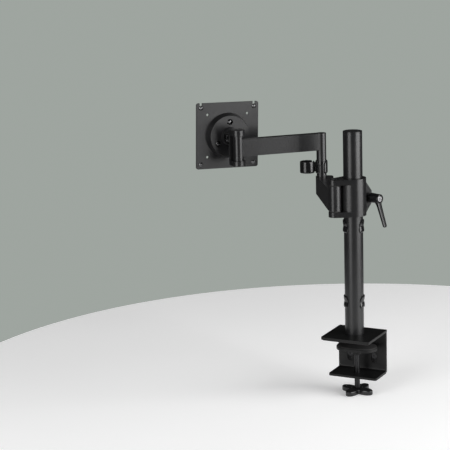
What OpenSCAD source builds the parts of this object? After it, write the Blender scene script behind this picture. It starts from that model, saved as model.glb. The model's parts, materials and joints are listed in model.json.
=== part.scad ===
// Desk-clamp monitor arm: clamp base and round pole, a sliding clamp collar,
// a short lower arm, a longer upper arm and a tilting, turning VESA head.
//
// Frame: Z is up and z = 0 is the desk surface. The origin is on the pole's axis.
// +Y points to the desk's edge, where the clamp bracket goes down.
// The arms are drawn in their rest pose, folded out beside the pole.

/* [Show] */
// which node to draw

/* [Desk clamp] */
// width of the base plate along the desk's edge
plate_w = 90; // [80:1:110]
// base plate from the pole's axis to its front edge
plate_front = 46; // [40:1:60]
// base plate from the pole's axis to its back face, at the desk's edge
plate_back = 42; // [40:1:50]
// thickness of the base plate's sheet
plate_t = 4.5; // [4:0.5:6]
// thickness of the rubber sheet under the base plate
sheet_t = 1.5; // [1:0.5:3]
// clear height of the bracket below the desk surface
throat = 68.5; // [60:0.5:80]
// how far the bracket's foot reaches under the desk
foot_reach = 48; // [44:1:54]
// thickness of the desk held in the rest pose
desk_t = 19; // [10:1:40]

/* [Pole] */
// outside diameter of the pole
pole_d = 33; // [30:0.5:36]
// wall of the pole's tube
pole_wall = 2; // [1.5:0.5:3]
// height of the pole's top above the desk
pole_top = 363; // [330:1:450]
// height of the lower cable clip's middle above the desk
clip_low_z = 64.5; // [40:0.5:120]
// height of the upper cable clip's middle above the desk
clip_high_z = 198.5; // [150:0.5:203]

/* [Collar] */
// height of the collar's middle above the desk
collar_z = 249.5; // [249:0.5:320]
// height of the collar
collar_h = 65; // [60:1:65]
// outside diameter of the collar's ring
collar_d = 45; // [43:0.5:46]
// direction of the collar's ears
collar_yaw = 228; // [180:1:270]
// direction of the clamping lugs, from the ears
lug_yaw = -156; // [-165:1:-140]

/* [Lower arm] */
// distance between the collar hinge and the elbow
lower_len = 113; // [100:1:130]
// direction of the lower arm, from the collar's ears
lower_yaw = -103; // [-112:1:90]
// height of the lower arm at the elbow
lower_h = 31.5; // [28:0.5:34]

/* [Upper arm] */
// distance between the elbow and the head's axis
upper_len = 153; // [130:1:200]
// direction of the upper arm, from the lower arm
upper_yaw = 99; // [60:1:120]
// height of the upper arm's bar
bar_h = 30; // [26:1:34]
// thickness of the upper arm's bar
bar_t = 14; // [12:1:16]

/* [Head] */
// direction of the head, from the upper arm
head_yaw = -85.5; // [-95:0.5:90]
// turn of the VESA plate about its own axis
vesa_roll = 2; // [-10:1:10]
// side of the square VESA plate
vesa_w = 117; // [114:1:125]
// diameter of the head's face disc
disc_d = 72; // [70:1:74]
// diameter of the raised step of the VESA plate
step_d = 80; // [78:0.5:84]

/* [Hidden] */
eps = 0.01;
run = 0.05;            // radial running clearance of shafts and bushes
gap = 0.1;             // axial clearance between faces that turn on each other
hide = 0.02;           // clearance between pieces fixed to each other

// desk clamp
top_z = sheet_t + plate_t;
sheet_steel = 4;                         // thickness of the clamp bracket's sheet
flange_y = plate_back - sheet_steel;     // inner face of the plate's down flange
wall_y = flange_y - sheet_steel;         // inner face of the clamp bracket
slot_x = 22.5;
slot_h = 18;
slot_z = -46;
slot_screw_z = slot_z + 3.5;
clamp_y = wall_y - 24.5;                 // axis of the clamp screw
screw_r = 4.8;
screw_neck_r = 3.8;                      // groove of the spring clip at the screw's tip
pad_t = 7;
pad_top = -desk_t;
pad_w = 74;
pad_dy = 46;
pad_boss_h = 9;
knob_top = -95;
knob_h = 10;
knob_r = 31.5;
knob_yaw = -12;

// pole
pole_r = pole_d / 2;
pole_in = pole_r - pole_wall;
clip_h = 21.4;
clip_wall = 2.1;
clip_yaw = -67;                          // the clips open towards this direction
loop_r = 11;                             // outside of the cable ring on a pole clip

// collar
ring_r = collar_d / 2;
liner_r = pole_r + 2.1;
hinge_x = ring_r + 12;                   // distance from the pole's axis to the hinge
barrel_r = 11;
ear_t = 9;
ear_z = collar_h / 2 - ear_t;            // inner face of the ears
bush_flange = 2;
barrel_h2 = ear_z - bush_flange - gap;   // half the height of the lower arm's barrel
pin_r = 5;
pin_head_r = 7.6;
lug_end = 38;
lug_x = 29;
lug_z = -5.3;
lug_t = 8;
slit = 3;
stud_r = 4;
lug_face = slit / 2 + lug_t;

// clamping lever, distances from the lug's face along the lever's axis
hub_r = 8.9;                             // at its root
hub_end_r = 8.1;
hub_z0 = 1.7;
hub_z1 = 26.9;
socket_z = 10;                           // end of the socket for the stud's teeth
shoulder_z = 17.2;                       // seat of the spring
lever_head_z = 23.1;                     // underside of the screw's head
handle_z = 20;
handle_lean = 19.5;
handle_len = 47.6;
handle_r0 = 5;
handle_r1 = 3.9;

// lower arm
arm_top = 17;
arm_bottom = arm_top - lower_h;
post_r = 8.7;
post_top = arm_top + 21.5;
ring_h = 7;
elbow_r = 4;

// upper arm, heights above the collar's middle
tube_z = post_top + ring_h + gap;
bar_top = 95.5;
bar_z = bar_top - bar_h;
head_z0 = 58.5;
head_z1 = 100.5;
head_r = 9.2;

// head, along its own axis from the pan axis
knuckle_r = 11.5;
fork_z0 = 48.7;
fork_z1 = 111.5;
web_x0 = 12.2;
web_x1 = 15.7;
tilt_x = 23.5;
tilt_z = 95.5;
tilt_r = 7.4;
lug_y = 6.8;
cheek_y0 = 7.5;
cheek_y1 = 11.2;
boss_x = 31.4;
boss_r = 16.4;                           // hub on the disc, narrowing to boss_end_r
boss_end_r = 14.8;
face_x = 39.2;
disc_back = 45;
disc_back_r = disc_d / 2 + 1.9;           // the disc's rim and the step flare as one cone
step_x = 45.2;
vesa_x = 51.2;
vesa_t = 2.5;
vesa_corner = 4;
spigot_r = 29;
retainer_x = 48.05;
disc_screw_r = 24.8;
vesa_big = 100;
vesa_small = 75;

$fn = 96;

// colours as seen
black = [0.035, 0.035, 0.038];
satin = [0.055, 0.056, 0.06];
gloss = [0.02, 0.02, 0.022];
steel = [0.62, 0.62, 0.63];
rubber = [0.03, 0.03, 0.03];
zinc = [0.45, 0.45, 0.46];
spring_c = [0.5, 0.5, 0.52];

// ---- frames ----

module at_collar() translate([0, 0, collar_z]) rotate([0, 0, collar_yaw]) children();

// origin on the lug's middle plane, +X outwards, -Y towards the lever
module at_lug() at_collar() rotate([0, 0, lug_yaw]) children();

// origin on the lever's axis, +Z outwards along it
module at_lever() at_lug() translate([lug_x, 0, lug_z]) rotate([90, 0, 0]) children();

// origin on the collar hinge, +X to the elbow
module at_lower() at_collar() translate([hinge_x, 0, 0]) rotate([0, 0, lower_yaw]) children();

// origin on the elbow, +X to the head
module at_upper() at_lower() translate([lower_len, 0, 0]) rotate([0, 0, upper_yaw]) children();

// origin on the pan axis, +X to the VESA plate
module at_head() at_upper() translate([upper_len, 0, 0]) rotate([0, 0, head_yaw]) children();

// origin on the turning axis, +Z along it to the monitor
module at_turn() at_head() translate([0, 0, tilt_z]) rotate([0, 90, 0]) children();

// ---- shared shapes ----

module rounded(w, d, r) {
  square([w - 2 * r, d], center = true);
  square([w, d - 2 * r], center = true);
  for (x = [-1, 1], y = [-1, 1])
    translate([x * (w / 2 - r), y * (d / 2 - r)]) circle(r = r, $fn = 48);
}

module tube(r_out, r_in, h, z = 0) translate([0, 0, z]) difference() {
  cylinder(r = r_out, h = h);
  translate([0, 0, -1]) cylinder(r = r_in, h = h + 2);
}

// outline round two circles, the first at the origin and the second at [d, 0]
module tangent_pair(r_a, r_b, d) {
  a = acos((r_a - r_b) / d);
  circle(r = r_a);
  translate([d, 0]) circle(r = r_b);
  polygon([
    [r_a * cos(a), r_a * sin(a)], [d + r_b * cos(a), r_b * sin(a)],
    [d + r_b * cos(a), -r_b * sin(a)], [r_a * cos(a), -r_a * sin(a)]
  ]);
}

module socket_head(r, h, key) difference() {
  cylinder(r = r, h = h);
  translate([0, 0, h - 0.6 * h]) cylinder(r = key, h = h, $fn = 6);
}

// domed head with a cross recess, its flat side at z = 0
module pan_head(r, h, cross) difference() {
  dome = (r * r + h * h) / (2 * h);
  intersection() {
    cylinder(r = r - 0.15, h = h);
    translate([0, 0, h - dome]) sphere(r = dome, $fn = 64);
  }
  for (a = [0, 90]) rotate([0, 0, a])
    translate([-cross, -cross / 4, h - 1.5]) cube([2 * cross, cross / 2, 3]);
}

// a C-shaped clip on a round post with a C-shaped cable ring beside it
// mouth: half of the clip's opening angle, turn: direction of the cable ring from the mouth,
// slot: direction of the ring's slit from the ring's own direction, neck: length of the web between them
module cable_clip(r_post, h, mouth, r_loop, h_loop, turn, slot, neck) {
  r_in = r_post + run;
  r_out = r_post + clip_wall;
  reach = r_out + r_loop - 1.2 + neck;
  difference() {
    union() {
      cylinder(r = r_out, h = h, center = true);
      rotate([0, 0, turn]) {
        translate([reach, 0, 0]) cylinder(r = r_loop, h = h_loop, center = true);
        translate([r_out + neck / 2, 0, 0]) cube([neck + 2, 7, h_loop - 3], center = true);
      }
    }
    cylinder(r = r_in, h = h + 2, center = true);
    rotate([0, 0, turn]) translate([reach, 0, 0])
      cylinder(r = r_loop - clip_wall, h = h + 2, center = true);
    // mouth of the clip, wider at its two ends
    translate([r_out, 0, 0]) cube([2 * r_out, 2 * r_out * sin(mouth), h + 2], center = true);
    for (s = [-1, 1]) translate([r_out, 0, s * h / 2]) rotate([45, 0, 0])
      cube([2 * r_out, r_out * sin(mouth) * 1.9, r_out * sin(mouth) * 1.9], center = true);
    // slit of the cable ring
    rotate([0, 0, turn]) translate([reach, 0, 0]) rotate([0, 0, slot])
      translate([r_loop, 0, 0]) cube([r_loop, 5, h + 2], center = true);
  }
}

// ---- desk clamp ----

module desk_sheet() color(rubber) {
  sheet_d = plate_front + wall_y - 3;
  translate([0, wall_y - 1 - sheet_d / 2, 0])
    linear_extrude(height = sheet_t) rounded(plate_w - 4, sheet_d, 4);
}

module base_plate() color(black) {
  depth = plate_front + plate_back;
  flange_h = 54;
  bend = 5;
  difference() {
    union() {
      // flat plate, with the bend to its flange along the back
      translate([0, plate_back - depth / 2, sheet_t])
        linear_extrude(height = plate_t) rounded(plate_w, depth, 4);
      translate([0, flange_y + sheet_steel / 2, top_z - bend]) rotate([90, 0, 0])
        translate([0, 0, -sheet_steel / 2]) linear_extrude(height = sheet_steel)
          translate([0, -flange_h / 2]) rounded(plate_w - 8, flange_h, 4);
      translate([-plate_w / 2 + 4, flange_y, top_z - 2 * bend])
        cube([plate_w - 8, sheet_steel, 2 * bend - plate_t + 1]);
    }
    // rounded outer bend
    difference() {
      translate([-plate_w, plate_back - 2, top_z - 2]) cube([2 * plate_w, 3, 3]);
      translate([0, plate_back - 2, top_z - 2]) rotate([0, 90, 0])
        cylinder(r = 2, h = 2 * plate_w, center = true);
    }
    // countersunk hole of the pole's bolt
    translate([0, 0, sheet_t - eps]) cylinder(r1 = 9.2, r2 = 5.1, h = 4.1 + eps);
    cylinder(r = 5.1, h = top_z + 1);
    // threaded holes of the bracket's screws
    for (s = [-1, 1]) translate([s * slot_x, plate_back, slot_screw_z]) rotate([90, 0, 0])
      cylinder(r = 3 + hide, h = 20, center = true);
  }
}

module clamp_bracket() color(black) {
  foot_z = -throat - sheet_steel;
  bend_r = 3;
  wall_top = 1.2;
  wall_h = throat + wall_top - 3;
  difference() {
    union() {
      // upright wall along the desk's edge
      translate([0, flange_y - hide, wall_top - wall_h / 2]) rotate([90, 0, 0])
        linear_extrude(height = sheet_steel) rounded(plate_w, wall_h, 1);
      translate([-plate_w / 2, wall_y - hide, foot_z + 2]) cube([plate_w, sheet_steel, 12]);
      // foot under the desk
      translate([0, wall_y - foot_reach / 2 + 2, foot_z])
        linear_extrude(height = sheet_steel) rounded(plate_w, foot_reach + 4, 4);
      // inner radius of the bend
      translate([-plate_w / 2, wall_y - bend_r, foot_z + sheet_steel - 1]) difference() {
        cube([plate_w, bend_r + 1, bend_r + 1]);
        translate([-1, 0, bend_r + 1]) rotate([0, 90, 0]) cylinder(r = bend_r, h = plate_w + 2);
      }
    }
    // rounded outer bend
    difference() {
      translate([-plate_w, flange_y - 5, foot_z - 1]) cube([2 * plate_w, 6, 6]);
      translate([0, flange_y - 5, foot_z + 5]) rotate([0, 90, 0])
        cylinder(r = 5, h = 2 * plate_w, center = true);
    }
    // threaded hole of the clamp screw
    translate([0, clamp_y, foot_z - 1]) cylinder(r = screw_r + run, h = sheet_steel + 2);
    // recessed slots
    for (s = [-1, 1]) translate([s * slot_x, flange_y, slot_z]) rotate([90, 0, 0]) {
      translate([0, 0, -1]) linear_extrude(height = sheet_steel + 2) rounded(6.4, slot_h - 4, 3.19);
      translate([0, 0, sheet_steel - 2.4]) linear_extrude(height = 4) rounded(11.6, slot_h + 1, 5.79);
    }
  }
}

module bracket_screws() color(zinc) for (s = [-1, 1])
  translate([s * slot_x, wall_y + 2.4 - hide, slot_screw_z]) rotate([90, 0, 0]) {
    socket_head(5.2, 2.2, 1.8);
    translate([0, 0, -7.4]) cylinder(r = 3, h = 7.5);
  }

module clamp_pad() color(black) translate([0, clamp_y, 0]) difference() {
  union() {
    translate([0, 0, pad_top - pad_t]) linear_extrude(height = pad_t - 1.5)
      rounded(pad_w, pad_dy, pad_dy / 2 - 0.01);
    translate([0, 0, pad_top - pad_t - pad_boss_h + 1]) cylinder(r = 9.5, h = pad_boss_h);
  }
  // socket of the screw's tip, and room for its spring clip
  translate([0, 0, pad_top - pad_t - pad_boss_h]) cylinder(r = screw_r + run, h = pad_boss_h + 2);
  translate([0, 0, pad_top - pad_t - 2.5]) cylinder(r = 7, h = 2.4);
}

module pad_rubber() color(rubber) translate([0, clamp_y, pad_top - 1.5])
  linear_extrude(height = 1.5) rounded(pad_w - 3, pad_dy - 3, pad_dy / 2 - 1.51);

// spring clip in the groove of the screw's tip
module pad_clip() color(steel) translate([0, clamp_y, pad_top - pad_t - 1.6]) difference() {
  cylinder(r = 6.5, h = 0.8);
  translate([0, 0, -1]) cylinder(r = screw_neck_r + hide, h = 3);
  translate([4, 0, 0]) cube([8, 3, 3], center = true);
}

module clamp_screw() color(zinc) translate([0, clamp_y, 0]) difference() {
  z0 = knob_top - knob_h + 1 + hide;
  translate([0, 0, z0]) cylinder(r = screw_r, h = pad_top - pad_t + 1.4 - z0);
  // groove of the spring clip
  translate([0, 0, pad_top - pad_t - 1.7]) tube(screw_r + 1, screw_neck_r, 1);
}

module clamp_knob() color(gloss) translate([0, clamp_y, knob_top - knob_h])
rotate([0, 0, knob_yaw]) difference() {
  lobe_r = 6.5;
  union() {
    cylinder(r = 15, h = knob_h);
    for (a = [0 : 90 : 270]) rotate([0, 0, a]) {
      translate([knob_r - lobe_r, 0, 0]) cylinder(r = lobe_r, h = knob_h - 1);
      linear_extrude(height = knob_h - 1) polygon([
        [0, -12], [knob_r - lobe_r, -lobe_r], [knob_r - lobe_r, lobe_r], [0, 12]
      ]);
    }
  }
  translate([0, 0, 1]) cylinder(r = screw_r + hide, h = knob_h);
}

// ---- pole ----

module pole() color(satin) tube(pole_r, pole_in, pole_top - 1.5 - top_z, top_z);

module pole_plug() color(steel) difference() {
  translate([0, 0, top_z]) cylinder(r = pole_in - hide, h = 22);
  translate([0, 0, top_z - 1]) cylinder(r = 5 + hide, h = 24);
}

module pole_bolt() color(zinc) difference() {
  union() {
    translate([0, 0, sheet_t + 0.1]) cylinder(r1 = 9, r2 = 5, h = 4);
    translate([0, 0, sheet_t + 0.1]) cylinder(r = 5, h = 24);
  }
  translate([0, 0, sheet_t]) cylinder(r = 3.4, h = 3, $fn = 6);
}

module pole_cap() color(gloss) {
  translate([0, 0, pole_top - 1.5]) cylinder(r = pole_r, h = 1.5);
  tube(pole_in - hide, pole_in - 2, 10, pole_top - 11.4);
}

module clip_low() color(gloss) translate([0, 0, clip_low_z]) rotate([0, 0, clip_yaw])
  cable_clip(pole_r, clip_h, 38, loop_r, clip_h - 3, 180, 0, 0);

module clip_high() color(gloss) translate([0, 0, clip_high_z]) rotate([0, 0, clip_yaw])
  cable_clip(pole_r, clip_h, 38, loop_r, clip_h - 3, 180, 0, 0);

// ---- collar ----

module collar_liner() color(gloss) translate([0, 0, collar_z]) rotate([0, 0, collar_yaw]) difference() {
  translate([0, 0, -collar_h / 2 + 0.5]) tube(liner_r, pole_r + run, collar_h - 1);
  rotate([0, 0, lug_yaw]) translate([liner_r, 0, 0]) cube([8, slit, collar_h + 2], center = true);
}

module collar() color(satin) at_collar() difference() {
  union() {
    cylinder(r = ring_r, h = collar_h, center = true);
    for (s = [-1, 1]) translate([0, 0, s * (collar_h - ear_t) / 2])
      linear_extrude(height = ear_t, center = true) tangent_pair(ring_r, barrel_r, hinge_x);
    // clamping lugs, tapering outwards
    rotate([0, 0, lug_yaw]) rotate([90, 0, 0])
      linear_extrude(height = 2 * lug_face, center = true) translate([0, lug_z]) polygon([
        [10, -27], [22, -27], [lug_end, -10.5], [lug_end, 10.5], [22, 29.5], [10, 29.5]
      ]);
  }
  cylinder(r = liner_r + run, h = collar_h + 2, center = true);
  rotate([0, 0, lug_yaw]) {
    translate([lug_end, 0, 0]) cube([2 * lug_end - 20, slit, collar_h + 2], center = true);
    translate([lug_x, 0, lug_z]) rotate([90, 0, 0]) {
      cylinder(r = stud_r + run, h = 40, center = true);
      // pocket of the stud's nut
      translate([0, 0, -lug_face - 1]) cylinder(r = 7.7, h = 5, $fn = 6);
    }
  }
  translate([hinge_x, 0, 0]) {
    cylinder(r = pin_r + hide, h = collar_h + 2, center = true);
    translate([0, 0, collar_h / 2 - 4.5]) cylinder(r = pin_head_r + 0.2, h = 10);
    translate([0, 0, -collar_h / 2 - 1]) cylinder(r = 9.4, h = 6.5, $fn = 6);
  }
}

module hinge_pin() color(zinc) at_collar() translate([hinge_x, 0, 0]) {
  translate([0, 0, -collar_h / 2 + 0.6]) cylinder(r = pin_r, h = collar_h - 5);
  translate([0, 0, collar_h / 2 - 4.5 + hide]) socket_head(pin_head_r, 4, 3);
}

module hinge_nut() color(zinc) at_collar() translate([hinge_x, 0, -collar_h / 2 + 0.4]) difference() {
  cylinder(r = 9.2, h = 5, $fn = 6);
  translate([0, 0, -1]) cylinder(r = pin_r + hide, h = 8);
}

// ---- clamping lever ----

module lever_stud() color(zinc) at_lever() difference() {
  union() {
    translate([0, 0, -lug_face - 0.5]) cylinder(r = stud_r, h = 2 * lug_face + 2.2);
    translate([0, 0, lug_face + 1.6]) cylinder(r = 5, h = socket_z - 2, $fn = 12);
  }
  translate([0, 0, lug_face + 2.6]) cylinder(r = 2.5 + hide, h = 10);
}

module lever_nut() color(zinc) at_lever() translate([0, 0, -lug_face + 0.4]) difference() {
  cylinder(r = 7.5, h = 3.5, $fn = 6);
  translate([0, 0, -1]) cylinder(r = stud_r + run, h = 6);
}

module lever_washer() color(steel) at_lever() tube(7, stud_r + run, 1.4, lug_face + 0.1);

module lever_screw() color(steel) at_lever() {
  translate([0, 0, lug_face + 2.8]) cylinder(r = 2.5, h = lever_head_z - 2.7);
  translate([0, 0, lug_face + lever_head_z]) socket_head(4.7, 3, 2);
}

module lever_spring() color(spring_c) at_lever()
  for (i = [0 : 3]) tube(4.5, 3.4, 0.9, lug_face + shoulder_z + 0.4 + i * 1.38);

module lever_handle() color(gloss) at_lever() difference() {
  union() {
    translate([0, 0, lug_face + hub_z0]) cylinder(r1 = hub_r, r2 = hub_end_r, h = hub_z1 - hub_z0);
    // handle, leaning outwards as it hangs
    translate([0, 0, lug_face + handle_z]) rotate([-handle_lean, 0, 0]) rotate([90, 0, 0]) {
      cylinder(r1 = handle_r0, r2 = handle_r1, h = handle_len);
      translate([0, 0, handle_len]) sphere(r = handle_r1, $fn = 48);
    }
  }
  // socket of the stud, shoulder and cup of the spring
  translate([0, 0, lug_face]) cylinder(r = 5.15, h = socket_z);
  cylinder(r = 2.5 + run, h = 60);
  translate([0, 0, lug_face + shoulder_z]) cylinder(r = 5.1, h = 30);
}

// ---- lower arm ----

// plan of the lower arm, inset by d
module lower_plan(d) {
  end = lower_len + 11 - d;
  w0 = barrel_r - d;
  w1 = 9 - d;
  polygon([
    [0, w0], [end - 2, w1], [end, w1 - 2], [end, -13 + d], [end - 2.5, -19 + d * 0.7],
    [end - 8, -21.5 + d], [28, -6 + d], [0, -6 + d]
  ]);
}

module lower_arm() color(satin) at_lower() difference() {
  union() {
    cylinder(r = barrel_r, h = 2 * barrel_h2, center = true);
    intersection() {
      translate([0, 0, -40]) linear_extrude(height = 80) lower_plan(0);
      rotate([90, 0, 0]) linear_extrude(height = 80, center = true) polygon([
        [0, -barrel_h2], [10, -barrel_h2], [lower_len + 20, arm_bottom], [lower_len + 20, arm_top],
        [0, arm_top]
      ]);
    }
    translate([lower_len, 0, arm_top - 1]) cylinder(r = post_r, h = post_top - arm_top + 1);
  }
  // bores of the hinge bushes and the relief between them
  cylinder(r = 7 + hide, h = 60, center = true);
  // underside hollow, round the elbow's boss
  difference() {
    translate([0, 0, -60]) linear_extrude(height = 60 + arm_top - 4) intersection() {
      lower_plan(3.5);
      translate([barrel_r + 4, -40]) square([lower_len, 80]);
    }
    translate([lower_len, 0, -60]) cylinder(r = post_r + 1, h = 100);
  }
  // threaded hole of the elbow screw
  translate([lower_len, 0, arm_bottom - 10]) cylinder(r = elbow_r + hide, h = 80);
}

module hinge_bushes() color(gloss) at_lower() for (s = [0, 1]) mirror([0, 0, s]) difference() {
  union() {
    translate([0, 0, barrel_h2]) cylinder(r = barrel_r - 0.9, h = bush_flange);
    translate([0, 0, barrel_h2 - 14]) cylinder(r = 7, h = 14.5);
  }
  cylinder(r = pin_r + run, h = 60);
}

module elbow_clip() color(gloss) at_lower() translate([lower_len, 0, post_top - 3.2])
  rotate([0, 0, 180 - 8]) cable_clip(post_r, 22.5, 30, 13, 20.5, -90, -147, 2.6);

module elbow_screw() color(zinc) at_lower() translate([lower_len, 0, 0]) {
  translate([0, 0, arm_bottom + 2]) cylinder(r = elbow_r, h = 84 - arm_bottom - 1.9);
  translate([0, 0, 84]) socket_head(6.5, 7, 3);
}

module elbow_washer() color(steel) at_lower() translate([lower_len, 0, 0])
  tube(6.5, elbow_r + hide, 1.3, 82.65);

// ---- upper arm ----

module upper_arm() color(satin) at_upper() difference() {
  union() {
    translate([0, 0, tube_z]) cylinder(r = post_r, h = bar_top - tube_z);
    translate([0, -bar_t / 2, bar_z]) cube([upper_len, bar_t, bar_h]);
    translate([upper_len, 0, head_z0]) cylinder(r = head_r, h = head_z1 - head_z0);
  }
  // bore of the elbow and the pocket of its screw head
  translate([0, 0, tube_z - 1]) cylinder(r = 6.5, h = 60);
  translate([0, 0, 82]) cylinder(r = 6.9, h = 20);
  translate([0, 0, bar_top - 1.5]) cylinder(r = 7.6, h = 20);
  // bore of the pan bushes
  translate([upper_len, 0, head_z0 - 1]) cylinder(r = 6 + hide, h = 60);
  // cable channel along the underside
  translate([13, -bar_t / 2 + 3, bar_z - 1]) cube([upper_len - 13 - 14, bar_t - 6, bar_h - 3]);
}

module elbow_bush() color(gloss) at_upper() difference() {
  union() {
    translate([0, 0, post_top + gap]) cylinder(r = post_r, h = ring_h - hide);
    translate([0, 0, post_top + gap]) cylinder(r = 6.5 - hide, h = ring_h + 12);
  }
  translate([0, 0, post_top - 1]) cylinder(r = elbow_r + run, h = 40);
}

module elbow_top_bush() color(gloss) at_upper() tube(6.5 - hide, elbow_r + run, 12.5, 70);

module elbow_cap() color(gloss) at_upper() {
  translate([0, 0, bar_top - 1.5]) cylinder(r = 7.6 - hide, h = 1.5);
  tube(6.9 - hide, 5.6, 2.2, bar_top - 3.6);
}

module head_bushes() color(gloss) at_upper() translate([upper_len, 0, 0])
  for (s = [-1, 1]) translate([0, 0, (head_z0 + head_z1) / 2]) mirror([0, 0, s < 0 ? 1 : 0]) difference() {
    union() {
      translate([0, 0, (head_z1 - head_z0) / 2]) cylinder(r = head_r, h = 0.8);
      translate([0, 0, (head_z1 - head_z0) / 2 - 12]) cylinder(r = 6, h = 12.4);
    }
    cylinder(r = stud_r + run, h = 60);
  }

// ---- head ----

module head_fork() color(satin) at_head() difference() {
  union() {
    for (z = [[fork_z0, head_z0 - 0.9], [head_z1 + 0.9, fork_z1]])
      translate([0, 0, z[0]]) linear_extrude(height = z[1] - z[0]) {
        circle(r = knuckle_r);
        translate([0, -knuckle_r]) square([web_x1, 2 * knuckle_r]);
      }
    translate([web_x0, -knuckle_r, fork_z0 + 1])
      cube([web_x1 - web_x0, 2 * knuckle_r, fork_z1 - fork_z0 - 2]);
    // tilt lug
    translate([0, 0, tilt_z]) rotate([90, 0, 0]) linear_extrude(height = 2 * lug_y, center = true) {
      translate([tilt_x, 0]) circle(r = tilt_r);
      translate([web_x1 - 1, -tilt_r]) square([tilt_x - web_x1 + 1, 2 * tilt_r]);
    }
  }
  translate([0, 0, fork_z0 - 1]) cylinder(r = stud_r + hide, h = 80);
  // pocket of the pan screw's head and of its nut
  translate([0, 0, fork_z0 - 1]) cylinder(r = 7, h = 6);
  translate([0, 0, fork_z1 - 5]) cylinder(r = 7.6, h = 8, $fn = 6);
  translate([tilt_x, 0, tilt_z]) rotate([90, 0, 0]) cylinder(r = 4 + run, h = 60, center = true);
}

module head_pin() color(zinc) at_head() {
  translate([0, 0, fork_z0 + 4]) cylinder(r = stud_r, h = fork_z1 - fork_z0 - 5);
  translate([0, 0, fork_z0 + 5 - hide]) mirror([0, 0, 1]) socket_head(6.6, 4.6, 2.6);
}

module head_nut() color(zinc) at_head() translate([0, 0, fork_z1 - 5 + hide]) difference() {
  cylinder(r = 7.4, h = 4.4, $fn = 6);
  translate([0, 0, -1]) cylinder(r = stud_r + hide, h = 8);
}

module tilt_washers() color(steel) at_head() translate([tilt_x, 0, tilt_z]) rotate([90, 0, 0])
  for (s = [-1, 1]) translate([0, 0, s * (lug_y + cheek_y0) / 2 - 0.3]) tube(6.8, 4.1, 0.6);

module head_disc() color(satin) at_head() difference() {
  union() {
    for (s = [-1, 1]) translate([0, s * (cheek_y0 + cheek_y1) / 2, tilt_z]) rotate([90, 0, 0])
      linear_extrude(height = cheek_y1 - cheek_y0, center = true) {
        translate([tilt_x, 0]) circle(r = tilt_r);
        translate([tilt_x, -tilt_r]) square([boss_x - tilt_x + 1, 2 * tilt_r]);
      }
    translate([0, 0, tilt_z]) rotate([0, 90, 0]) {
      translate([0, 0, boss_x]) cylinder(r1 = boss_end_r, r2 = boss_r, h = face_x - boss_x + 0.5);
      translate([0, 0, face_x]) cylinder(r1 = disc_d / 2, r2 = disc_back_r, h = disc_back - face_x);
      translate([0, 0, disc_back - 1]) cylinder(r = spigot_r, h = retainer_x - disc_back + 1);
    }
  }
  translate([tilt_x, 0, tilt_z]) rotate([90, 0, 0]) cylinder(r = 4 + hide, h = 60, center = true);
  at_screws() {
    translate([0, 0, face_x - 1]) cylinder(r = 5.4, h = 3.8);
    translate([0, 0, face_x]) cylinder(r = 2.5 + 0.2, h = 20);
  }
}

// the three screws of the face disc, seen in the head's own frame
module at_screws() translate([0, 0, tilt_z]) rotate([0, 90, 0])
  for (a = [88 : 120 : 328]) translate([-disc_screw_r * sin(a), -disc_screw_r * cos(a), 0]) children();

module tilt_bolt() color(zinc) at_head() translate([tilt_x, 0, tilt_z]) rotate([90, 0, 0]) {
  translate([0, 0, -cheek_y1 - 1]) cylinder(r = 4, h = 2 * cheek_y1 + 7);
  translate([0, 0, -cheek_y1]) mirror([0, 0, 1]) socket_head(5.9, 3.6, 2.5);
}

module tilt_nut() color(zinc) at_head() translate([tilt_x, 0, tilt_z]) rotate([90, 0, 0])
  translate([0, 0, cheek_y1 + hide]) difference() {
    cylinder(r = 7.4, h = 5.6, $fn = 6);
    translate([0, 0, -1]) cylinder(r = 4 + hide, h = 8);
  }

module turn_washers() color(steel) at_turn() for (x = [disc_back + 0.02, step_x + vesa_t + 0.05])
  tube(disc_d / 2 - 0.5, spigot_r + 0.1, 0.16, x);

module retainer_disc() color(steel) at_head() difference() {
  translate([0, 0, tilt_z]) rotate([0, 90, 0]) translate([0, 0, retainer_x + hide])
    cylinder(r = disc_d / 2, h = 2.6);
  at_screws() cylinder(r = 2.5 + hide, h = 80);
}

module disc_screws() color(zinc) at_head() at_screws() {
  translate([0, 0, face_x + 2]) cylinder(r = 2.5, h = 9);
  translate([0, 0, face_x + 2.8 - hide]) mirror([0, 0, 1]) pan_head(4.8, 2.7, 2.2);
}

// ---- VESA plate ----

// four children on a square of the given side
module at_vesa(side) at_turn() rotate([0, 0, vesa_roll])
  for (x = [-1, 1], y = [-1, 1]) translate([x * side / 2, y * side / 2, 0]) children();

module vesa_plate() color(satin) difference() {
  at_turn() rotate([0, 0, vesa_roll]) {
    difference() {
      union() {
        translate([0, 0, vesa_x]) linear_extrude(height = vesa_t) rounded(vesa_w, vesa_w, vesa_corner);
        translate([0, 0, step_x]) cylinder(r1 = disc_back_r, r2 = step_d / 2, h = vesa_x - step_x);
        translate([0, 0, vesa_x - 0.1]) cylinder(r = step_d / 2, h = 1.1);
      }
      // hollow behind the step and the bearing hole
      translate([0, 0, step_x + vesa_t]) cylinder(r = disc_d / 2 + 0.7, h = 20);
      cylinder(r = spigot_r + run, h = 80);
      // the upper two screws hook into slots that run out of the top edge
      for (y = [-1, 1]) translate([-vesa_w / 2, y * vesa_big / 2, vesa_x + 1])
        cube([vesa_w - vesa_big, 4.6, 10], center = true);
    }
  }
  at_vesa(vesa_big) cylinder(r = 2.3, h = 80);
  at_vesa(vesa_small) cylinder(r = 2.3, h = 80);
}

module vesa_screws() color(zinc) at_vesa(vesa_big) {
  translate([0, 0, vesa_x - hide]) mirror([0, 0, 1]) pan_head(4.4, 2.7, 2.1);
  // plain neck in the plate, then the thread
  translate([0, 0, vesa_x - 0.5]) cylinder(r = 1.75, h = vesa_t + 1);
  translate([0, 0, vesa_x + vesa_t + 0.1]) cylinder(r = 2, h = 8.4);
}

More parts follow.
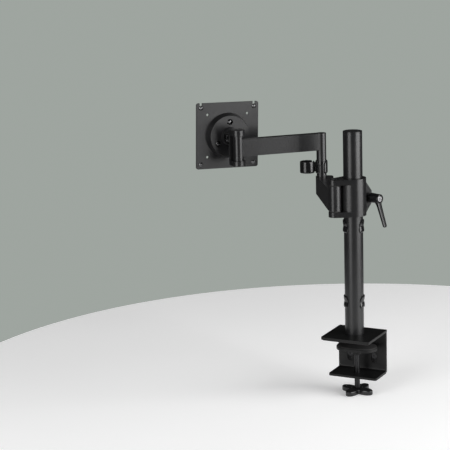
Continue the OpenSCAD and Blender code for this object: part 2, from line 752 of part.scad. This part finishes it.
desk_sheet();
base_plate();
clamp_bracket();
bracket_screws();
clamp_pad();
pad_rubber();
pad_clip();
clamp_screw();
clamp_knob();
pole();
pole_plug();
pole_bolt();
pole_cap();
clip_low();
clip_high();
collar_liner();
collar();
hinge_pin();
hinge_nut();
lever_stud();
lever_nut();
lever_washer();
lever_screw();
lever_spring();
lever_handle();
lower_arm();
hinge_bushes();
elbow_clip();
elbow_screw();
elbow_washer();
upper_arm();
elbow_bush();
elbow_top_bush();
elbow_cap();
head_bushes();
head_fork();
head_pin();
head_nut();
tilt_washers();
head_disc();
tilt_bolt();
tilt_nut();
turn_washers();
retainer_disc();
disc_screws();
vesa_plate();
vesa_screws();
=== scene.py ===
import json
import math

import bmesh
import bpy
from mathutils import Matrix, Vector


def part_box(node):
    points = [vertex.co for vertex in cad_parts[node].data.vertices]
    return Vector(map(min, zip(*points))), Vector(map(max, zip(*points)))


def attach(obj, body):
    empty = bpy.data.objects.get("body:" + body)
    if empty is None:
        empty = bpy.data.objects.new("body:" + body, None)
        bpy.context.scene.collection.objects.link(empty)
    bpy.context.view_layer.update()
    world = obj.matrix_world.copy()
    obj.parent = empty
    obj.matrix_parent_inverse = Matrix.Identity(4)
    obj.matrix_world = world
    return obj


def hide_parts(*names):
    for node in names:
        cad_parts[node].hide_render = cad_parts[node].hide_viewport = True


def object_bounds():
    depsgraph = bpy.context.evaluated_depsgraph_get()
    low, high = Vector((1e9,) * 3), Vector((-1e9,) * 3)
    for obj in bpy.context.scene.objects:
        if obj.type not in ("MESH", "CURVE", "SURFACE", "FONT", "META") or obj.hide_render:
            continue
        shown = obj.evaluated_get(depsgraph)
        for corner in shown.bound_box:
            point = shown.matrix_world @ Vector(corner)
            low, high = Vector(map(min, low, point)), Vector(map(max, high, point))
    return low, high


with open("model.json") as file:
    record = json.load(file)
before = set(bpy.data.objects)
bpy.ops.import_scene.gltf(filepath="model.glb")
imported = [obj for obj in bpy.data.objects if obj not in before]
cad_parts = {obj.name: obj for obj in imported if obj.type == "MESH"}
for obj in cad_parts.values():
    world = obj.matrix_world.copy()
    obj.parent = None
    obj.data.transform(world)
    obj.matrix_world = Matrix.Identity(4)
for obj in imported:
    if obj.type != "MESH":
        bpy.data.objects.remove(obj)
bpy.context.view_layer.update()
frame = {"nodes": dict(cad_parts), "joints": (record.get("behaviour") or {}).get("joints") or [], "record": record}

MM = 0.001
nodes = frame["nodes"]

# the camera, about the point that it looks at
VIEW_AZIMUTH = 27.45      # degrees, 0 looks along +Y
VIEW_ELEVATION = 12.24
VIEW_ROLL = -1.64
VIEW_DISTANCE = 2.75      # metres
VIEW_TARGET = Vector((-0.195, -0.104, 0.206))
LENS_MM = 128
SENSOR_MM = 36
FAR_CLIP = 50

# stage, in metres
FLOOR_RADIUS = 0.78
FLOOR_DROP = 0.0005       # of the floor below the object
FLOOR_SIDES = 128
FLOOR_GLOW = 0.26         # lifts the floor to the pale tone of the desk
WALL_COLOUR = (0.345, 0.376, 0.350, 1)
STUDIO_DIM = (0.03, 0.03, 0.03, 1)

# name, degrees from the camera's azimuth, elevation, distance, width and height in metres, radiance
LIGHTS = (
    ("left_strip", -41, 14, 2.2, 1.3, 2.2, 3.8),
    ("right_strip", 62, 15, 2.2, 2.1, 2.1, 5.5),
    ("top_soft", 0, 82, 2.4, 1.6, 1.6, 1.0),
)

# edges
SHARP_ANGLE = math.radians(28)
FLAT_ANGLE = math.radians(0.4)
JOIN_DISTANCE = 2e-6
EDGE_SEGMENTS = 2


# ---- materials ----

def new_material(name):
    """A material with its node tree and its Principled shader."""
    material = bpy.data.materials.new(name)
    material.use_nodes = True
    tree = material.node_tree
    return material, tree, tree.nodes["Principled BSDF"]


def add(tree, kind, **inputs):
    """Adds a node with its inputs set; an underscore in a name stands for a space."""
    node = tree.nodes.new(kind)
    for key, value in inputs.items():
        node.inputs[key.replace("_", " ")].default_value = value
    return node


def noise_of(tree, scale, detail, roughness=0.5):
    """Noise in the piece's own coordinates, in metres."""
    place = tree.nodes.new("ShaderNodeTexCoord")
    noise = add(tree, "ShaderNodeTexNoise", Scale=scale, Detail=detail, Roughness=roughness)
    tree.links.new(place.outputs["Object"], noise.inputs["Vector"])
    return noise


def ramp_of(tree, source, stops):
    """A colour ramp on a noise, between two stops of (place, colour)."""
    ramp = tree.nodes.new("ShaderNodeValToRGB")
    for end, (place, colour) in zip(ramp.color_ramp.elements, stops):
        end.position, end.color = place, (*colour, 1)
    tree.links.new(source.outputs["Fac"], ramp.inputs["Fac"])
    return ramp


def range_of(tree, source, low, high, out_low, out_high):
    """Spreads a noise between two values."""
    spread = add(tree, "ShaderNodeMapRange")
    for key, value in (("From Min", low), ("From Max", high), ("To Min", out_low), ("To Max", out_high)):
        spread.inputs[key].default_value = value
    tree.links.new(source.outputs["Fac"], spread.inputs["Value"])
    return spread


def bump_chain(tree, shader, layers):
    """Each layer is (noise, strength, distance in metres)."""
    last = None
    for source, strength, distance in layers:
        bump = add(tree, "ShaderNodeBump", Strength=strength, Distance=distance)
        tree.links.new(source.outputs["Fac"], bump.inputs["Height"])
        if last:
            tree.links.new(last.outputs["Normal"], bump.inputs["Normal"])
        last = bump
    tree.links.new(last.outputs["Normal"], shader.inputs["Normal"])


def powder_coat(name, dark, pale, rough, grain, depth, specular=0.5):
    """Baked-on powder paint: fine orange peel with a finer grain in it, and faint cloudiness."""
    material, tree, shader = new_material(name)
    cloud = noise_of(tree, 26, 5, 0.6)
    colour = ramp_of(tree, cloud, [(0.32, dark), (0.72, pale)])
    tree.links.new(colour.outputs["Color"], shader.inputs["Base Color"])
    peel = noise_of(tree, grain, 3, 0.55)
    fine = noise_of(tree, grain * 3.1, 2, 0.5)
    gloss = range_of(tree, peel, 0.3, 0.7, rough - 0.05, rough + 0.05)
    tree.links.new(gloss.outputs["Result"], shader.inputs["Roughness"])
    bump_chain(tree, shader, [(peel, 0.5, depth), (fine, 0.35, depth * 0.4)])
    shader.inputs["Specular IOR Level"].default_value = specular
    return material


def moulded_plastic(name, dark, pale, rough, grain, depth):
    """Moulded black plastic: low sheen, faint flow marks and a fine spark-eroded grain."""
    material, tree, shader = new_material(name)
    flow = noise_of(tree, 38, 3, 0.5)
    colour = ramp_of(tree, flow, [(0.35, dark), (0.7, pale)])
    tree.links.new(colour.outputs["Color"], shader.inputs["Base Color"])
    skin = noise_of(tree, grain, 2, 0.5)
    gloss = range_of(tree, skin, 0.35, 0.65, rough - 0.04, rough + 0.04)
    tree.links.new(gloss.outputs["Result"], shader.inputs["Roughness"])
    bump_chain(tree, shader, [(skin, 0.3, depth)])
    return material


def metal(name, dark, pale, rough, scale, depth):
    """Bare or plated steel: cloudy reflectance with fine scratches."""
    material, tree, shader = new_material(name)
    cloud = noise_of(tree, 160, 4, 0.6)
    colour = ramp_of(tree, cloud, [(0.3, dark), (0.7, pale)])
    tree.links.new(colour.outputs["Color"], shader.inputs["Base Color"])
    shader.inputs["Metallic"].default_value = 1
    grain = noise_of(tree, scale, 3, 0.6)
    gloss = range_of(tree, grain, 0.3, 0.7, rough - 0.08, rough + 0.08)
    tree.links.new(gloss.outputs["Result"], shader.inputs["Roughness"])
    bump_chain(tree, shader, [(grain, 0.25, depth)])
    return material


def rubber_sheet(name):
    """Matt rubber with a fine cloth-moulded stipple."""
    material, tree, shader = new_material(name)
    stain = noise_of(tree, 60, 4, 0.6)
    colour = ramp_of(tree, stain, [(0.3, (0.012, 0.012, 0.012)), (0.75, (0.026, 0.025, 0.024))])
    tree.links.new(colour.outputs["Color"], shader.inputs["Base Color"])
    stipple = noise_of(tree, 1800, 2, 0.5)
    gloss = range_of(tree, stipple, 0.3, 0.7, 0.72, 0.88)
    tree.links.new(gloss.outputs["Result"], shader.inputs["Roughness"])
    bump_chain(tree, shader, [(stipple, 0.6, 0.00012)])
    return material


ARM_BLACK = powder_coat(
    "arm_powder_coat", (0.008, 0.008, 0.0085), (0.013, 0.013, 0.0135), 0.29, 1500, 0.00006)
PLATE_BLACK = powder_coat(
    "plate_powder_coat", (0.003, 0.003, 0.003), (0.006, 0.006, 0.006), 0.42, 1300, 0.00009, 0.22)
HEAD_BLACK = powder_coat(
    "head_powder_coat", (0.006, 0.006, 0.0065), (0.010, 0.010, 0.0105), 0.34, 1500, 0.00006, 0.36)
GLOSS_PLASTIC = moulded_plastic(
    "gloss_black_plastic", (0.006, 0.006, 0.0065), (0.010, 0.010, 0.0105), 0.19, 900, 0.00002)
ZINC = metal("black_zinc_screw", (0.08, 0.08, 0.082), (0.14, 0.14, 0.143), 0.17, 1500, 0.00002)
BLACK_STEEL = metal("black_steel", (0.022, 0.022, 0.023), (0.045, 0.045, 0.046), 0.36, 1500, 0.00002)
BRIGHT = metal("bright_steel", (0.55, 0.55, 0.56), (0.72, 0.72, 0.73), 0.26, 1200, 0.00001)
RUBBER = rubber_sheet("black_rubber")

SLOT_MATERIAL = {
    "black_plate": PLATE_BLACK, "black_arm": ARM_BLACK, "gloss_plastic": GLOSS_PLASTIC,
    "rubber": RUBBER, "zinc_steel": ZINC, "bright_steel": BRIGHT,
}

# pieces that look different from the rest of their material slot
NODE_MATERIAL = {
    "clamp_screw": BLACK_STEEL, "bracket_screws": BLACK_STEEL, "pad_clip": BLACK_STEEL,
    "hinge_nut": BLACK_STEEL, "head_pin": BLACK_STEEL, "head_nut": BLACK_STEEL,
    "vesa_plate": HEAD_BLACK, "head_disc": HEAD_BLACK, "hinge_bushes": RUBBER, "retainer_disc": ZINC,
}


def paint_nodes():
    for part in frame["record"]["subparts"]:
        mesh = nodes[part["node"]].data
        mesh.materials.clear()
        mesh.materials.append(NODE_MATERIAL.get(part["node"], SLOT_MATERIAL[part["material_slot"]]))


paint_nodes()


# ---- edges of the machined and cast pieces ----

def edge_tree():
    """Joins the imported faces into closed surfaces and shades them smooth up to sharp edges."""
    tree = bpy.data.node_groups.new("joined_faces", "GeometryNodeTree")
    tree.interface.new_socket("Geometry", in_out="INPUT", socket_type="NodeSocketGeometry")
    tree.interface.new_socket("Geometry", in_out="OUTPUT", socket_type="NodeSocketGeometry")
    first = tree.nodes.new("NodeGroupInput")
    last = tree.nodes.new("NodeGroupOutput")
    merge = tree.nodes.new("GeometryNodeMergeByDistance")
    merge.inputs["Distance"].default_value = JOIN_DISTANCE
    drop = tree.nodes.new("GeometryNodeRemoveAttribute")
    drop.inputs["Name"].default_value = "custom_normal"
    faces = tree.nodes.new("GeometryNodeSetShadeSmooth")
    faces.domain = "FACE"
    edges = tree.nodes.new("GeometryNodeSetShadeSmooth")
    edges.domain = "EDGE"
    edges.inputs["Shade Smooth"].default_value = False
    angle = tree.nodes.new("GeometryNodeInputMeshEdgeAngle")
    sharp = tree.nodes.new("FunctionNodeCompare")
    sharp.data_type = "FLOAT"
    sharp.operation = "GREATER_THAN"
    sharp.inputs["B"].default_value = SHARP_ANGLE
    links = tree.links
    links.new(first.outputs[0], merge.inputs["Geometry"])
    links.new(merge.outputs["Geometry"], drop.inputs["Geometry"])
    links.new(drop.outputs["Geometry"], faces.inputs["Geometry"])
    links.new(faces.outputs["Geometry"], edges.inputs["Geometry"])
    links.new(angle.outputs["Unsigned Angle"], sharp.inputs["A"])
    links.new(sharp.outputs["Result"], edges.inputs["Selection"])
    links.new(edges.outputs["Geometry"], last.inputs[0])
    return tree


JOINED = edge_tree()


def join_faces(piece):
    joined = piece.modifiers.new("joined_faces", "NODES")
    joined.node_group = JOINED


def round_edges(piece, width):
    bevel = piece.modifiers.new("edge_radius", "BEVEL")
    bevel.width = width
    bevel.segments = EDGE_SEGMENTS
    bevel.limit_method = "ANGLE"
    bevel.angle_limit = SHARP_ANGLE
    bevel.harden_normals = True
    return bevel


def finish_edges(piece, width):
    """Merges the flat faces of a CAD piece and rounds its sharp edges."""
    join_faces(piece)
    flat = piece.modifiers.new("flat_faces", "DECIMATE")
    flat.decimate_type = "DISSOLVE"
    flat.angle_limit = FLAT_ANGLE
    flat.delimit = {"SHARP"}
    bevel = round_edges(piece, width)
    bevel.miter_outer = "MITER_ARC"


# in millimetres
EDGE_RADIUS = {
    "base_plate": 0.6, "clamp_bracket": 0.6, "pole_cap": 0.5, "collar": 0.8, "lower_arm": 0.9,
    "upper_arm": 0.7, "head_fork": 0.7, "head_disc": 0.6, "vesa_plate": 0.5, "desk_sheet": 0.3,
    "clamp_pad": 0.8, "elbow_bush": 0.3, "hinge_bushes": 0.25, "pole": 0.2,
}
SMALL_EDGE = 0.15                 # for every piece not named here
MOULDED_EDGE = 0.25 * MM          # of the pieces made in this script

for name, node in nodes.items():
    finish_edges(node, EDGE_RADIUS.get(name, SMALL_EDGE) * MM)


# ---- moulded and die-cast pieces, made here in place of their CAD nodes ----

def joint_named(name):
    return next(joint for joint in frame["joints"] if joint["name"] == name)


def new_piece(name, shape, body, *replaced):
    """Turns a shape into a moulded piece that rides on a body and replaces CAD nodes."""
    bmesh.ops.recalc_face_normals(shape, faces=shape.faces)
    mesh = bpy.data.meshes.new(name)
    shape.to_mesh(mesh)
    shape.free()
    mesh.materials.append(GLOSS_PLASTIC)
    piece = bpy.data.objects.new(name, mesh)
    bpy.context.collection.objects.link(piece)
    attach(piece, body)
    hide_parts(*replaced)
    return piece


def skin(shape, rings, close=False):
    """Joins rings of points with quads, with a face over each end unless the rings close on themselves."""
    rows = [[shape.verts.new(point) for point in ring] for ring in rings]
    count = len(rows[0])
    pairs = list(zip(rows, rows[1:]))
    if close:
        pairs.append((rows[-1], rows[0]))
    for one, two in pairs:
        for i in range(count):
            j = (i + 1) % count
            shape.faces.new((one[i], one[j], two[j], two[i]))
    if not close:
        shape.faces.new(rows[0])
        shape.faces.new(rows[-1])


def quarter(centre_r, centre_z, radius, start, stop, steps=4):
    """Points along a round edge of a (radius, height) profile."""
    points = []
    for i in range(steps + 1):
        a = math.radians(start + (stop - start) * i / steps)
        points.append((centre_r + radius * math.cos(a), centre_z + radius * math.sin(a)))
    return points


def turned(shape, profile, place, segments):
    """Spins a closed (radius, height) profile round the Z axis of a frame."""
    rings = []
    for i in range(segments):
        a = 2 * math.pi * i / segments
        rings.append([place @ Vector((r * math.cos(a), r * math.sin(a), z)) for r, z in profile])
    skin(shape, rings, close=True)


LEVER_LEAN = 19.5                 # degrees that the handle leans out as it hangs
HANDLE_START = 20 * MM            # from the lug's face, along the lever's axis
HANDLE_LENGTH = 47.6 * MM
HUB_GAP = 1.7 * MM                # from the lug's face to the hub
SOCKET_END = 10 * MM
SPRING_SEAT = 17.2 * MM
SOCKET_R = 5.15 * MM
CUP_R = 5.1 * MM
SCREW_R = 2.55 * MM
HUB_SIDES = 96
# half widths and half thicknesses of the handle at the lever's axis and where its tip begins
HANDLE_WIDE = (4.9 * MM, 3.8 * MM)
HANDLE_THICK = (2.5 * MM, 1.9 * MM)
HANDLE_ROOT = 5.6 * MM            # from the lever's axis to the handle's first section, in the hub
HANDLE_FLARE = 1.6 * MM           # how much the handle swells there
FLARE_FADE = 3 * MM               # distance over which the swelling dies away
HANDLE_TIP = 3.9 * MM             # length of its round tip


def lever_frame():
    """Z along the lever's axis away from the collar, Y up."""
    turn = joint_named("lever_turn")
    axis = Vector(turn["axis"]).normalized()
    side = Vector((0, 0, 1)).cross(axis).normalized()
    up = axis.cross(side)
    turned_to = Matrix((side, up, axis)).transposed().to_4x4()
    return Matrix.Translation(Vector(turn["pos_m"])) @ turned_to


def flat_section(half_wide, half_thick, count=40):
    """A rectangle with rounded corners, as a superellipse."""
    power = 0.32
    points = []
    for i in range(count):
        a = 2 * math.pi * i / count
        c, s = math.cos(a), math.sin(a)
        points.append((
            half_wide * math.copysign(abs(c) ** power, c), half_thick * math.copysign(abs(s) ** power, s),
        ))
    return points


def lever_handle():
    """Die-cast lever: a round hub with a cup for its screw, and a flat tapered handle with a round tip."""
    place = lever_frame()
    inverse = place.inverted()
    corners = [inverse @ v.co for v in nodes["lever_handle"].data.vertices]
    hub_0 = min(c.z for c in corners)
    hub_1 = max(c.z for c in corners if c.y > 0)
    hub_r = max(c.y for c in corners)
    end_r = max(c.y for c in corners if c.z > hub_1 - 0.1 * MM)
    lug = hub_0 - HUB_GAP
    soft = 1.2 * MM
    lip = 0.5 * MM
    shape = bmesh.new()
    profile = quarter(hub_r - lip, hub_0 + lip, lip, -90, 0)
    profile += [(hub_r * 0.985, hub_0 + 5 * MM)] + quarter(end_r - soft, hub_1 - soft, soft, 0, 90)
    profile += [(CUP_R + lip, hub_1), (CUP_R, hub_1 - lip), (CUP_R, lug + SPRING_SEAT)]
    profile += [(SCREW_R, lug + SPRING_SEAT), (SCREW_R, lug + SOCKET_END)]
    profile += [(SOCKET_R, lug + SOCKET_END), (SOCKET_R, hub_0)]
    turned(shape, profile, place, HUB_SIDES)
    lean = math.radians(LEVER_LEAN)
    along = Vector((0, -math.cos(lean), math.sin(lean)))
    across = Vector((1, 0, 0))
    out = across.cross(along) * -1
    rings = []
    wide_0, wide_1 = HANDLE_WIDE
    thick_0, thick_1 = HANDLE_THICK
    # Close together where the handle swells, then every 4 mm. The last, at 50 mm, lies past the start of
    # the round tip, so the skin folds back about 2 mm there: a known fault of the shape.
    stations = [HANDLE_ROOT + 0.9 * MM * i for i in range(14)] + [18 * MM + 4 * MM * i for i in range(9)]
    for t in stations:
        share = t / HANDLE_LENGTH
        swell = HANDLE_FLARE * math.exp(-(t - HANDLE_ROOT) / FLARE_FADE)
        rings.append((t, wide_0 + (wide_1 - wide_0) * share + swell,
                      thick_0 + (thick_1 - thick_0) * share + swell))
    for i in range(9):
        a = math.pi / 2 * (i + 0.4) / 9
        rings.append((HANDLE_LENGTH + HANDLE_TIP * math.sin(a), wide_1 * math.cos(a),
                      thick_1 * math.cos(a) ** 0.6))
    start = Vector((0, 0, lug + HANDLE_START))
    skin(shape, [
        [place @ (start + along * t + across * x + out * y) for x, y in flat_section(wide, thick)]
        for t, wide, thick in rings
    ])
    return new_piece("lever_casting", shape, "lever", "lever_handle")


def knob_outline(angle, valley, tip):
    """Distance of the knob's edge from its centre: four round lobes with hollows between them."""
    return valley + (tip - valley) * math.cos(2 * angle) ** 2


KNOB_R = 31.3 * MM
KNOB_YAW = -12                    # degrees


def clamp_knob():
    """Moulded four-lobed knob, crowned on top, with a rim and a hollow underneath."""
    low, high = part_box("clamp_knob")
    centre = Vector(((low.x + high.x) / 2, (low.y + high.y) / 2, 0))
    tip = KNOB_R
    valley = 0.44 * tip
    top, bottom = high.z, low.z
    lobe_top = top - 1.6 * MM
    soft = 2.2 * MM
    rim = 2.4 * MM
    bore = 4.82 * MM
    # steps of the section: (distance in from the edge, or None; radius where there is no edge; height)
    steps = [(None, bore, top - 1 * MM), (None, bore + 0.4 * MM, top), (None, 7.6 * MM, top)]
    steps += [(None, 8.6 * MM, top - 0.4 * MM), (None, 9.6 * MM, top - 1.2 * MM)]
    steps += [(soft + 2 * MM, None, lobe_top)]
    steps += [(soft * (1 - math.sin(a)), None, lobe_top - soft * (1 - math.cos(a)))
              for a in (math.radians(18 * i) for i in range(6))]
    steps += [(0, None, bottom + 1.2 * MM), (0.35 * MM, None, bottom + 0.35 * MM), (1.2 * MM, None, bottom)]
    steps += [(rim, None, bottom), (rim + 0.3 * MM, None, bottom + 2.4 * MM)]
    steps += [(None, 9.4 * MM, bottom + 2.4 * MM), (None, 9 * MM, bottom)]
    steps += [(None, 5.4 * MM, bottom), (None, bore, bottom + 0.6 * MM)]
    shape = bmesh.new()
    rings = []
    count = 160
    for i in range(count):
        a = 2 * math.pi * i / count
        edge = knob_outline(a - math.radians(KNOB_YAW), valley, tip)
        ring = []
        for inset, radius, z in steps:
            r = radius if inset is None else edge - inset
            ring.append(centre + Vector((r * math.cos(a), r * math.sin(a), z)))
        rings.append(ring)
    skin(shape, rings, close=True)
    return new_piece("star_knob", shape, "clamp_screw", "clamp_knob")


RIDGE = 1.3 * MM                  # of the two round ridges along a pole clip's edges
CLIP_WALL = 2.1 * MM
CLIP_PLAY = 0.05 * MM             # round the post
CLIP_CUT = 18                     # degrees by which a clip's mouth widens at its top
RING_CUT = 3
RING_INSET = 1 * MM               # how much lower a ring is than its clip, at either end
SLIT_HALF = 2.5 * MM              # half of the slit of a cable ring
WEB_HALF = 3.4 * MM               # half the width of the web between clip and ring
WEB_ROOT = 4.4 * MM               # and where it meets them
WEB_INSET = 3.4 * MM


def clip_wall(shape, centre, facing, r_in, r_out, low, high, mouth, cut, ridge):
    """A C-shaped wall open towards facing, in degrees, with a round ridge along its top and bottom.
    mouth is half its opening in degrees, cut how much wider it is at the very top."""
    edge = 0.4 * MM
    steps = 20
    section = [(r_in + edge, low)]
    for i in range(steps + 1):
        u = i / steps
        fall = max(0, 1 - abs(2 * u - 1) ** 10) ** 0.5
        wave = abs(math.cos(math.pi * u)) ** 0.9
        r = r_in + edge + (r_out - ridge - r_in - edge) * (0.55 + 0.45 * fall) + ridge * wave * fall
        section.append((r, low + (high - low) * u))
    section += [(r_in + edge, high), (r_in, high - edge)]
    for i in range(1, steps):
        section.append((r_in, high - edge - (high - low - 2 * edge) * i / steps))
    section.append((r_in, low + edge))
    columns = 84
    depth = 6.5 * MM
    rings = []
    for k in range(columns + 1):
        ring = []
        for r, z in section:
            top_cut = max(0, 1 - (high - z) / depth)
            low_cut = max(0, 1 - (z - low) / (0.35 * depth))
            half = mouth + cut * top_cut + 0.2 * cut * low_cut ** 2
            a = math.radians(facing + half + (360 - 2 * half) * k / columns)
            ring.append(centre + Vector((r * math.cos(a), r * math.sin(a), z)))
        rings.append(ring)
    skin(shape, rings)


def cable_clip(
    name, node, body, centre, r_post, facing, mouth, ring_facing, r_ring, neck, slit_facing, ridge,
):
    """A clip on a round post, with a cable ring beside it. Facings are in degrees round the post."""
    low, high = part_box(node)
    r_in, r_out = r_post + CLIP_PLAY, r_post + CLIP_WALL
    reach = r_out + r_ring - 1.2 * MM + neck
    towards = Vector((math.cos(math.radians(ring_facing)), math.sin(math.radians(ring_facing)), 0))
    hub = Vector((centre.x, centre.y, 0))
    ring_at = hub + towards * reach
    shape = bmesh.new()
    clip_wall(shape, hub, facing, r_in, r_out, low.z, high.z, mouth, CLIP_CUT, ridge)
    slit = math.degrees(math.asin(SLIT_HALF / r_ring))
    clip_wall(
        shape, ring_at, slit_facing, r_ring - CLIP_WALL, r_ring, low.z + RING_INSET, high.z - RING_INSET,
        slit, RING_CUT, 0,
    )
    side = Vector((-towards.y, towards.x, 0))
    rings = []
    # sections of the web, as (distance from the post's axis, half of its width)
    for d, half in (
        (r_out - 0.6 * MM, WEB_ROOT), (r_out + 0.2 * MM, WEB_HALF),
        (r_out + neck + 0.3 * MM, WEB_HALF), (r_out + neck + 1 * MM, WEB_ROOT),
    ):
        at = hub + towards * d
        z0, z1 = low.z + WEB_INSET, high.z - WEB_INSET
        rings.append([at + side * x + Vector((0, 0, z)) for x, z in (
            (-half, z0), (half, z0), (half, z1), (-half, z1))])
    skin(shape, rings)
    return new_piece(name, shape, body, node)


POLE_R = 16.5 * MM
POST_R = 8.7 * MM
POLE_CLIP_FACING = -67            # degrees
ELBOW_CLIP_FACING = 297
POLE_CLIP_MOUTH = 38
ELBOW_CLIP_MOUTH = 30
POLE_RING_R = 11 * MM
ELBOW_RING_R = 13 * MM
ELBOW_NECK = 2.6 * MM             # between the post's clip and its ring
ELBOW_RING_TURN = 90              # from the clip's mouth back to its ring, and to the ring's slit
ELBOW_SLIT_TURN = 237

moulded = [lever_handle(), clamp_knob()]
for clip_name, clip_node, clip_body in (
    ("pole_clip_low", "clip_low", "low_clip"), ("pole_clip_high", "clip_high", "high_clip"),
):
    moulded.append(cable_clip(
        clip_name, clip_node, clip_body, Vector((0, 0, 0)), POLE_R, POLE_CLIP_FACING, POLE_CLIP_MOUTH,
        POLE_CLIP_FACING + 180, POLE_RING_R, 0, POLE_CLIP_FACING + 180, RIDGE,
    ))
elbow = Vector(joint_named("elbow_clip_turn")["pos_m"])
moulded.append(cable_clip(
    "post_clip", "elbow_clip", "elbow_clip", elbow, POST_R, ELBOW_CLIP_FACING, ELBOW_CLIP_MOUTH,
    ELBOW_CLIP_FACING - ELBOW_RING_TURN, ELBOW_RING_R, ELBOW_NECK, ELBOW_CLIP_FACING - ELBOW_SLIT_TURN, 0,
))
for piece in moulded:
    join_faces(piece)
    round_edges(piece, MOULDED_EDGE)


# ---- stage, light and camera ----

def floor_disc(radius, z):
    """A round pale floor that glows a little, as the desk does."""
    mesh = bpy.data.meshes.new("floor")
    shape = bmesh.new()
    bmesh.ops.create_circle(shape, cap_ends=True, segments=FLOOR_SIDES, radius=radius)
    shape.to_mesh(mesh)
    shape.free()
    disc = bpy.data.objects.new("floor", mesh)
    disc.location = (0, 0, z)
    bpy.context.collection.objects.link(disc)
    material, tree, shader = new_material("floor_white")
    cloud = noise_of(tree, 3, 3, 0.5)
    colour = ramp_of(tree, cloud, [(0.3, (0.84, 0.84, 0.84)), (0.7, (0.87, 0.87, 0.87))])
    tree.links.new(colour.outputs["Color"], shader.inputs["Base Color"])
    shader.inputs["Roughness"].default_value = 0.7
    shader.inputs["Specular IOR Level"].default_value = 0.2
    shader.inputs["Emission Color"].default_value = (1, 1, 1, 1)
    shader.inputs["Emission Strength"].default_value = FLOOR_GLOW
    mesh.materials.append(material)
    return disc


def direction(azimuth, elevation):
    """From the object towards a viewer at that azimuth and elevation."""
    a, e = math.radians(azimuth), math.radians(elevation)
    return Vector((math.sin(a) * math.cos(e), -math.cos(a) * math.cos(e), math.sin(e)))


def softbox(name, azimuth, elevation, distance, width, height, radiance, centre):
    """A rectangular light that faces the centre; its power follows from its size and radiance."""
    data = bpy.data.lights.new(name, "AREA")
    data.shape = "RECTANGLE"
    data.size = width
    data.size_y = height
    data.energy = radiance * math.pi * width * height
    light = bpy.data.objects.new(name, data)
    offset = direction(azimuth, elevation) * distance
    light.location = centre + offset
    light.rotation_euler = offset.to_track_quat("Z", "Y").to_euler()
    bpy.context.collection.objects.link(light)


def studio(centre):
    """A dim room for the reflections, the plain wall for the camera, and the softboxes."""
    world = bpy.data.worlds.new("studio")
    world.use_nodes = True
    tree = world.node_tree
    room = tree.nodes["Background"]
    room.inputs["Color"].default_value = STUDIO_DIM
    wall = add(tree, "ShaderNodeBackground", Color=WALL_COLOUR)
    seen = tree.nodes.new("ShaderNodeLightPath")
    mix = tree.nodes.new("ShaderNodeMixShader")
    tree.links.new(seen.outputs["Is Camera Ray"], mix.inputs[0])
    tree.links.new(room.outputs[0], mix.inputs[1])
    tree.links.new(wall.outputs[0], mix.inputs[2])
    tree.links.new(mix.outputs[0], tree.nodes["World Output"].inputs[0])
    bpy.context.scene.world = world
    for name, turn, elevation, distance, width, height, radiance in LIGHTS:
        softbox(name, VIEW_AZIMUTH + turn, elevation, distance, width, height, radiance, centre)


def camera():
    """A long lens at the fitted angle, rolled as the view is."""
    data = bpy.data.cameras.new("camera")
    data.lens = LENS_MM
    data.sensor_width = SENSOR_MM
    data.clip_end = FAR_CLIP
    body = bpy.data.objects.new("camera", data)
    offset = direction(VIEW_AZIMUTH, VIEW_ELEVATION)
    body.location = VIEW_TARGET + offset * VIEW_DISTANCE
    look = offset.to_track_quat("Z", "Y").to_matrix()
    body.rotation_euler = (look @ Matrix.Rotation(math.radians(VIEW_ROLL), 3, "Z")).to_euler()
    bpy.context.collection.objects.link(body)
    bpy.context.scene.camera = body


low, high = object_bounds()
floor = floor_disc(FLOOR_RADIUS, low.z - FLOOR_DROP)
studio((low + high) / 2)
camera()
bpy.context.scene.view_settings.view_transform = "Standard"
